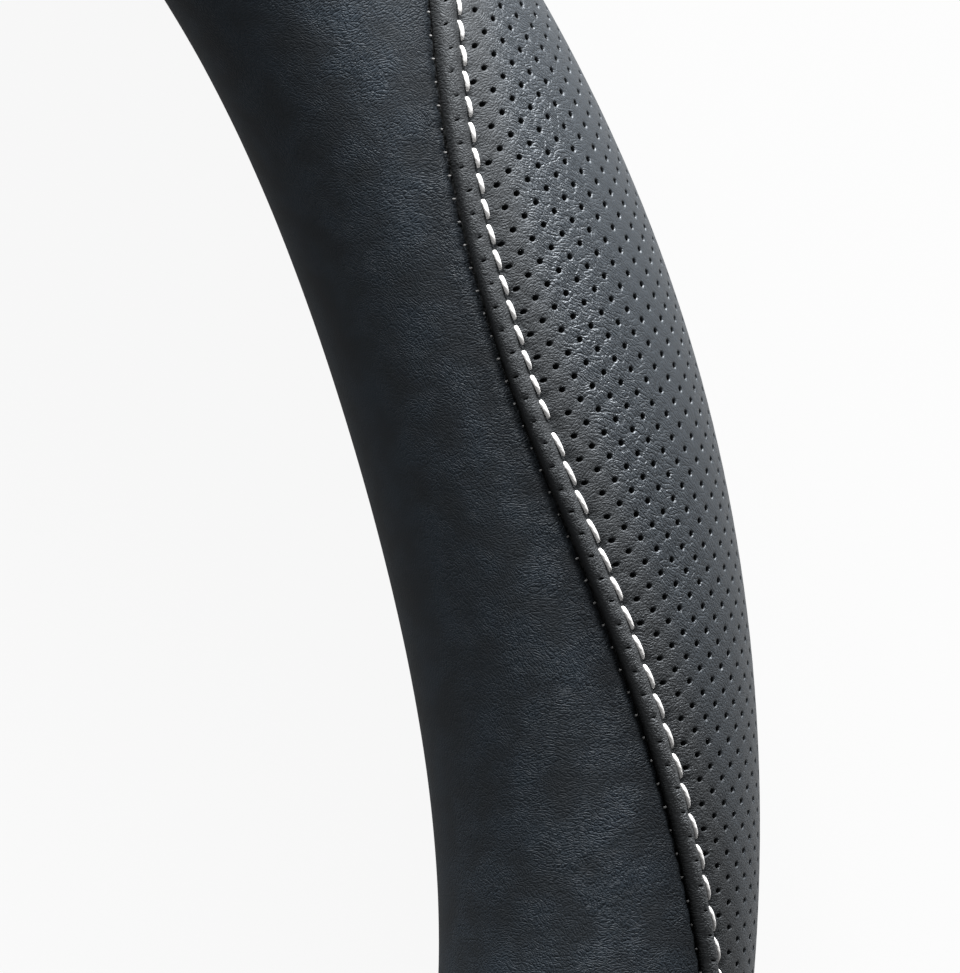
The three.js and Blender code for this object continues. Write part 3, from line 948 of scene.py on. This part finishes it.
def ridge_rows():
    """Rows of flat points along the ridge, each clear of the rows of the opposite side."""
    rows = []
    for edge, other, inwards in ((front_edge, back_edge, 1), (back_edge, front_edge, -1)):
        side = to_the_side(directions(edge), inwards)
        width = ridge_width(roll_up(edge)[0])
        for share in RIDGE_AT[1:]:
            line = edge + side * (share * width)[:, None]
            clear = distance_to(line, other) > share * width + 0.15
            own = distance_to(line, edge) > share * width - 0.02
            rows.append(line[clear & own])
    return np.concatenate(rows)


def far_from(points, others, reach):
    return points[distance_to_any(points, others) > reach]


def circle(radius):
    turn = 2 * np.pi * (np.arange(HOLE_SIDES) + 0.5) / HOLE_SIDES
    return radius * np.stack([np.cos(turn), np.sin(turn)], axis=-1)


def ring_round(radius):
    """A ring of flat points round every hole, drawn out where the seam pulls the leather."""
    return (holes[:, None] + circle(radius)[None] * stretch[:, None]).reshape(-1, 2)


def inner_outline():
    """The leaf's own cut edge, just inside the crease."""
    centre = leaf_edge.mean(0)
    way = np.roll(leaf_edge, -1, axis=0) - np.roll(leaf_edge, 1, axis=0)
    way = way / np.linalg.norm(way, axis=1)[:, None]
    side = to_the_side(way, 1)
    side[(side * (centre - leaf_edge)).sum(1) < 0] *= -1
    return (leaf_edge + side * LEAF_GAP)[:-1]


outline = inner_outline()
rims = ring_round(RIM_RADIUS)
mouths = ring_round(HOLE_RADIUS)
rows = far_from(ridge_rows(), field_holes, RIM_RADIUS + 0.15)
rows = far_from(rows, slits, RIM_RADIUS + 0.05)
rows = far_from(rows, outline, 0.12)
extra = fills[distance_to(fills, leaf_edge) > 1.7 * ridge_width(roll_up(fills)[0]) + 0.2]
drawn = np.concatenate([outline, rims, mouths, rows, extra])
bounds_pairs = [(k, (k + 1) % len(outline)) for k in range(len(outline))]
joined = delaunay_2d_cdt([Vector(p) for p in drawn.tolist()], bounds_pairs, [], 0, 1e-4)
flat_points = np.array([tuple(v) for v in joined[0]])
print(len(drawn), "flat points,", len(joined[2]), "triangles")

# %% [markdown]
# A punched hole goes through the leather, down to dark foam. Here it is a pit nearly as deep as
# the leather is thick: the joined triangles inside each mouth are dropped, and a wall and a
# floor take their place. The pit is painted near black: on its floor for the dark foam below,
# and on its wall and mouth as painted shade. A hole through both faces would need more faces,
# and look much the same from outside.

# %% Pits
NARROWEST = 0.2
MOUTH_DIP, WALL_DROP = 0.04, 0.35
WALL_SHARE, FLOOR_SHARE = 0.92, 0.8
# Shares of the pit's painted darkness at the mouth and on the wall, which are painted shade.
PIT_AT_MOUTH, PIT_AT_WALL = 0.1, 0.75


def leaf_mesh():
    first_mouth = len(outline) + len(rims)
    last_mouth = first_mouth + len(mouths)
    known = {}
    owner = np.full(len(flat_points), -1)
    for place_in_mesh, found in enumerate(joined[3]):
        for source in found:
            known[source] = place_in_mesh
            if first_mouth <= source < last_mouth:
                owner[place_in_mesh] = (source - first_mouth) // HOLE_SIDES
    faces = []
    middle_ok = inside_leaf(flat_points[np.array(joined[2])].mean(1), NARROWEST)
    for face, good in zip(joined[2], middle_ok):
        owners = owner[list(face)]
        if good and not (owners[0] >= 0 and (owners == owners[0]).all()):
            faces.append(tuple(face))
    height = leaf_height(flat_points)
    height[owner >= 0] -= MOUTH_DIP
    face_points = on_leather(flat_points, height)
    pit = np.zeros(len(flat_points))
    pit[owner >= 0] = PIT_AT_MOUTH
    return known, faces, face_points, pit


known, faces, face_points, pit = leaf_mesh()
count = len(face_points)
mouth_index = np.array([known[len(outline) + len(rims) + k] for k in range(len(mouths))])
mouth_index = mouth_index.reshape(-1, HOLE_SIDES)
wall_flat = ring_round(HOLE_RADIUS * WALL_SHARE)
floor_flat = ring_round(HOLE_RADIUS * FLOOR_SHARE)
hole_height = np.repeat(leaf_height(holes), HOLE_SIDES)
wall_points = on_leather(wall_flat, hole_height - WALL_DROP)
floor_points = on_leather(floor_flat, hole_height - PIT_DEPTH)
for hole in range(len(holes)):
    ring = mouth_index[hole]
    wall = count + hole * HOLE_SIDES + np.arange(HOLE_SIDES)
    base = wall + len(wall_flat)
    for k in range(HOLE_SIDES):
        after = (k + 1) % HOLE_SIDES
        faces.append((ring[k], ring[after], wall[after], wall[k]))
        faces.append((wall[k], wall[after], base[after], base[k]))
    faces.append(tuple(base))

print(len(holes), "pits sunk,", len(faces), "faces so far")

# %% [markdown]
# The leaf is a sheet, so it also has an inner face and a cut edge. The inner face is drawn with
# fewer points, as it lies on the foam, and a band of faces joins its outline to the front's.

# %% Inner face and cut edge
edge_index = np.array([known[k] for k in range(len(outline))])
under_start = count + len(wall_flat) + len(floor_flat)
inner_fill = extra[::3]
under_flat = np.concatenate([outline, inner_fill])
under = delaunay_2d_cdt([Vector(p) for p in under_flat.tolist()], bounds_pairs, [], 0, 1e-4)
under_known = {source: k for k, found in enumerate(under[3]) for source in found}
under_points = np.array([tuple(v) for v in under[0]])
under_good = inside_leaf(under_points[np.array(under[2])].mean(1), NARROWEST)
faces += [tuple(under_start + k for k in face[::-1]) for face, good in zip(under[2], under_good) if good]
for k in range(len(outline)):
    after = (k + 1) % len(outline)
    low = [under_start + under_known[m] for m in (k, after)]
    faces.append((edge_index[after], edge_index[k], low[0], low[1]))

all_points = np.concatenate([face_points, wall_points, floor_points, on_leather(under_points, -LEATHER)])
all_flat = np.concatenate([flat_points, wall_flat, floor_flat, under_points])
leaf_piece = make_piece("perforated_grip", all_points, faces)
leaf = leaf_piece.data
store_flat(leaf, all_flat)
store_number(leaf, "from_edge", distance_to(all_flat, leaf_edge))
# How far each point is painted towards near black: painted shade on the mouth and wall, and the dark foam on
# the floor.
pit_values = np.zeros(len(all_points))
pit_values[:count] = pit
pit_values[count:count + len(wall_flat)] = PIT_AT_WALL
pit_values[count + len(wall_flat):under_start] = 1
store_number(leaf, "pit", pit_values)
finish_pair(leaf_piece, "perforated_grip", perforated_leather, "perforated_leather")

# %% [markdown]
# ## Stitches
# A stitch is a short length of thread that comes up through one needle hole and goes down
# through the next. It is modelled once, from a small sphere drawn out to a capsule, with its
# ends bent down and two twisted yarns. Copies are then laid along each seam, where the surface
# gives each one its place and slant.

# %% The stitch pattern and the rows of copies


def stitch_pattern(sides, rings):
    """Along, across and up of one stitch of length 1 and thickness 1, and its faces."""
    bpy.ops.object.select_all(action="DESELECT")
    bpy.ops.mesh.primitive_uv_sphere_add(segments=sides, ring_count=rings, radius=0.5)
    ball = bpy.context.object
    points = np.array([tuple(v.co) for v in ball.data.vertices])
    faces = [tuple(face.vertices) for face in ball.data.polygons]
    bpy.data.meshes.remove(ball.data)
    along = np.sign(points[:, 2]) * np.abs(2 * points[:, 2]) ** 0.8 / 2
    width = np.hypot(points[:, 0], points[:, 1])
    angle = np.arctan2(points[:, 1], points[:, 0])
    full = np.where(width > 1e-6, 0.5 * (2 * width) ** 0.4, 0)
    across = full * np.cos(angle)
    up = full * np.sin(angle)
    return np.stack([along, across, up], axis=-1), angle, faces


def sew(name, centre, way, lengths, thickness, slant, bow, lift, sink, lay, pattern):
    """Copies of the stitch along a seam, laid on the surface by the function lay. slant and bow
    are one number, or one for each stitch; bow is how far its middle stands to the side."""
    shape, angle, faces = pattern
    end = 2 * shape[None, :, 0]
    along = shape[None, :, 0] * lengths[:, None]
    full = thickness * (1 + 0.1 * end)
    across = shape[None, :, 1] * full + np.tan(np.radians(slant)) * along + bow * (end ** 2 - 1)
    up = shape[None, :, 2] * full * 0.8 + lift - sink * np.abs(end) ** 3 + 0 * along
    side = np.stack([-way[:, 1], way[:, 0]], axis=-1)
    flat = centre[:, None] + along[..., None] * way[:, None] + across[..., None] * side[:, None]
    points = lay(flat, up).reshape(-1, 3)
    firsts = np.arange(len(centre)) * len(shape)
    piece = make_piece(name, points, [[v + first for v in face] for first in firsts for face in faces])
    strand = angle[None] * 2 + 9.0 * along
    store_number(piece.data, "strand", strand.ravel())
    print(name, len(centre), "stitches")
    return piece


TOP_THICKNESS, TOP_BOW = 0.53, 0.06
TOP_LIFT, TOP_SINK = 0.2, 0.38

top_pattern = stitch_pattern(8, 8)
fine_pattern = stitch_pattern(6, 6)
leaf_side = side_signs(front_stitches[0], back_stitches[0])
top = sew("topstitch", *stitches, TOP_THICKNESS, STITCH_SLANT * leaf_side, TOP_BOW * leaf_side,
          TOP_LIFT, TOP_SINK, on_leather, top_pattern)
finish_pair(top, "topstitch", white_thread, "white_thread")

# %% [markdown]
# The crease hides the seam that joins the two leathers, and only a speck of its thread shows at
# each needle hole, on the smooth leather's edge. So its stitches are tiny loops, which dip into
# the crease. A seeded draw gives them uneven lengths and heights, as hand sewing does.

# %% Seam thread in the crease
SPECK_THICKNESS = 0.26
SPECK_OUT = 0.16
SPECK_LENGTHS = (0.2, 0.46)
SPECK_LIFTS = (-0.62, -0.28)
SPECK_SINK = 0.25

seam_centre, seam_way = [np.concatenate(pair) for pair in zip(seam_front, seam_back)]
outwards = to_the_side(seam_way, -side_signs(seam_front[0], seam_back[0]))
speck_length = chance.uniform(*SPECK_LENGTHS, len(outwards))
speck_lift = chance.uniform(*SPECK_LIFTS, len(outwards))[:, None]
seam = sew("seam_thread", seam_centre + SPECK_OUT * outwards, outwards, speck_length,
           SPECK_THICKNESS, 0.0, 0.0, speck_lift, SPECK_SINK, on_leather, fine_pattern)
finish_pair(seam, "seam_thread", seam_thread, "black_thread")

# %% [markdown]
# The hems are sewn through the rubber all round the ring. Each lip has one row of stitches on
# the hem's inner side.

# %% Lip threads
LIP_PITCH, LIP_STITCH = 4.2, 3.3
THREAD_INSET = 3.5
LIP_THICKNESS, LIP_SLANT = 0.5, 5.0
LIP_LIFT, LIP_SINK = 0.12, 0.4


def lip_row(name, lip, side):
    turn = lip - side * np.degrees(THREAD_INSET / HEM_INNER)
    number = int(2 * np.pi * RING_RADIUS / LIP_PITCH)
    wheel = np.arange(number) * 360 / number
    centre = np.stack([np.radians(wheel) * RING_RADIUS, np.zeros(number)], axis=-1)
    way = np.tile([1.0, 0.0], (number, 1))

    def on_hem(flat, up):
        around = np.degrees(flat[..., 1] / HEM_INNER)
        return place(np.degrees(flat[..., 0] / RING_RADIUS), turn + around, HEM_INNER - up)

    lengths = np.full(number, LIP_STITCH)
    return sew(name, centre, way, lengths, LIP_THICKNESS, LIP_SLANT, 0.0, LIP_LIFT, LIP_SINK,
               on_hem, fine_pattern)


for node, lip, side in (("lip_thread_front", FRONT_LIP, 1), ("lip_thread_back", BACK_LIP, -1)):
    row = lip_row(node + "_dressed", lip, side)
    finish_piece(row, black_thread, "black_thread", node)

# %% [markdown]
# ## Floor, light and background
# The cover lies on a pale floor. Dark leather shows its shape by what it mirrors, so where each
# light stands counts for more than how strong it is. The main one, a wide soft light, stands low
# beyond twelve o'clock and rakes along the right-hand grip, which brings out the grain and the
# stitches. A weak one low at the right opens up the outer edge, and one high on the left draws
# the front. One lamp overhead would have flattened it all. The floor and the world are white to
# the camera, but only a dim grey to the leather that mirrors them, so that the background is
# white and the leather still dark. The floor keeps some of its own shading for the shadow.

# %% Floor and lights
FLOOR_SIZE = 6.0
FLOOR_DROP = 0.0002
FLOOR_GREY = 0.35
FLOOR_WHITE = 0.92
FLOOR_MIRRORED = 0.3
WORLD_DIM, WORLD_WHITE = 0.17, 0.78

bpy.ops.object.select_all(action="DESELECT")
bpy.ops.mesh.primitive_plane_add(size=FLOOR_SIZE, location=(0, 0, -FLOOR_DROP))
floor = bpy.context.object
floor.name = "floor"
paper = bpy.data.materials.new("floor_paper")
paper.use_nodes = True
floor.data.materials.append(paper)
tree = paper.node_tree
tree.nodes["Principled BSDF"].inputs["Base Color"].default_value = (*[FLOOR_GREY] * 3, 1)
tree.nodes["Principled BSDF"].inputs["Roughness"].default_value = 0.9
glow = tree.nodes.new("ShaderNodeEmission")
glow.inputs["Color"].default_value = (1, 1, 1, 1)
mix = tree.nodes.new("ShaderNodeMixShader")
path = tree.nodes.new("ShaderNodeLightPath")
white_shares = {"Is Camera Ray": FLOOR_WHITE, "Is Glossy Ray": FLOOR_MIRRORED,
                "Is Transmission Ray": FLOOR_WHITE}
share = None
for ray, strength in white_shares.items():
    part = tree.nodes.new("ShaderNodeMath")
    part.operation = "MULTIPLY_ADD"
    part.inputs[1].default_value = strength
    part.inputs[2].default_value = 0.0
    tree.links.new(path.outputs[ray], part.inputs[0])
    if share is not None:
        tree.links.new(share, part.inputs[2])
    share = part.outputs[0]
tree.links.new(share, mix.inputs[0])
tree.links.new(tree.nodes["Principled BSDF"].outputs[0], mix.inputs[1])
tree.links.new(glow.outputs[0], mix.inputs[2])
tree.links.new(mix.outputs[0], tree.nodes["Material Output"].inputs["Surface"])


def area_light(name, place_at, aim, width, height, watts):
    bpy.ops.object.light_add(type="AREA", location=place_at)
    light = bpy.context.object
    light.name = name
    light.data.shape = "RECTANGLE"
    light.data.size, light.data.size_y = width, height
    light.data.energy = watts
    way = Vector(aim) - Vector(place_at)
    light.rotation_euler = way.to_track_quat("-Z", "Y").to_euler()
    print(name, watts, "W")


GRIP_MIDDLE = (0.178, 0.05, 0.017)
area_light("side_light", (0.3, 1.95, 0.42), GRIP_MIDDLE, 1.4, 0.6, 290.0)
area_light("low_light", (1.6, 0.4, 0.2), GRIP_MIDDLE, 0.8, 0.36, 1.4)
area_light("top_light", (-0.35, 0.25, 1.2), GRIP_MIDDLE, 0.9, 0.9, 5.5)

world = bpy.data.worlds.new("studio")
scene.world = world
world.use_nodes = True
world.node_tree.nodes["Background"].inputs["Color"].default_value = (1, 1, 1, 1)
world_path = world.node_tree.nodes.new("ShaderNodeLightPath")
strength = world.node_tree.nodes.new("ShaderNodeMath")
strength.operation = "MULTIPLY_ADD"
strength.inputs[1].default_value = WORLD_WHITE
strength.inputs[2].default_value = WORLD_DIM
world.node_tree.links.new(world_path.outputs["Is Camera Ray"], strength.inputs[0])
world.node_tree.links.new(strength.outputs[0], world.node_tree.nodes["Background"].inputs["Strength"])
scene.view_settings.view_transform = "Standard"

# %% [markdown]
